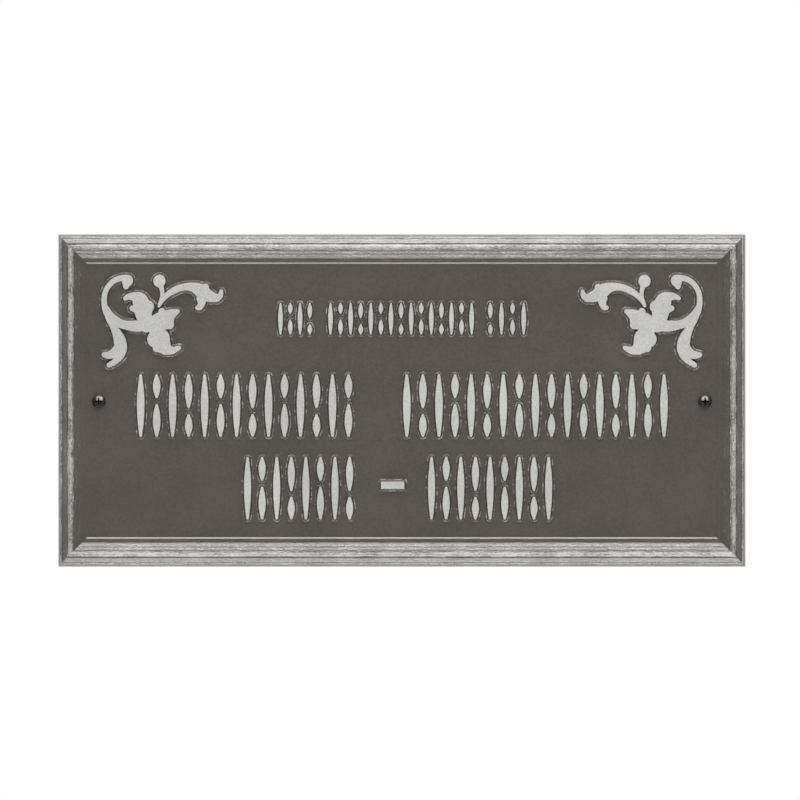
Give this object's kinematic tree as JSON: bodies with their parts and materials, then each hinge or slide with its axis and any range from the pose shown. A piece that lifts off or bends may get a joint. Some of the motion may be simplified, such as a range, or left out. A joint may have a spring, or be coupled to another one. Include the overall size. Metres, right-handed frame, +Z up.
{
  "type": "commemorative plaque",
  "caption": "Rectangular cast wall plaque with a moulded frame, corner scrolls, rows of raised strokes and its mounting screws.",
  "frame": {"origin": "middle of the flat back, in the plane that lies on the wall", "axes": "+X to the right along the width, +Z up, +Y into the wall; the face looks towards -Y"},
  "size_m": [0.394, 0.0362, 0.1906],
  "materials": {
    "pewter_casting": "dark pewter paint, satin, with silver paint on the raised faces and the frame's high lines",
    "black_screw": "gloss black"
  },
  "bodies": {
    "root": {"plaque": "pewter_casting", "screw_left": "black_screw", "screw_right": "black_screw"}
  },
  "joints": []
}
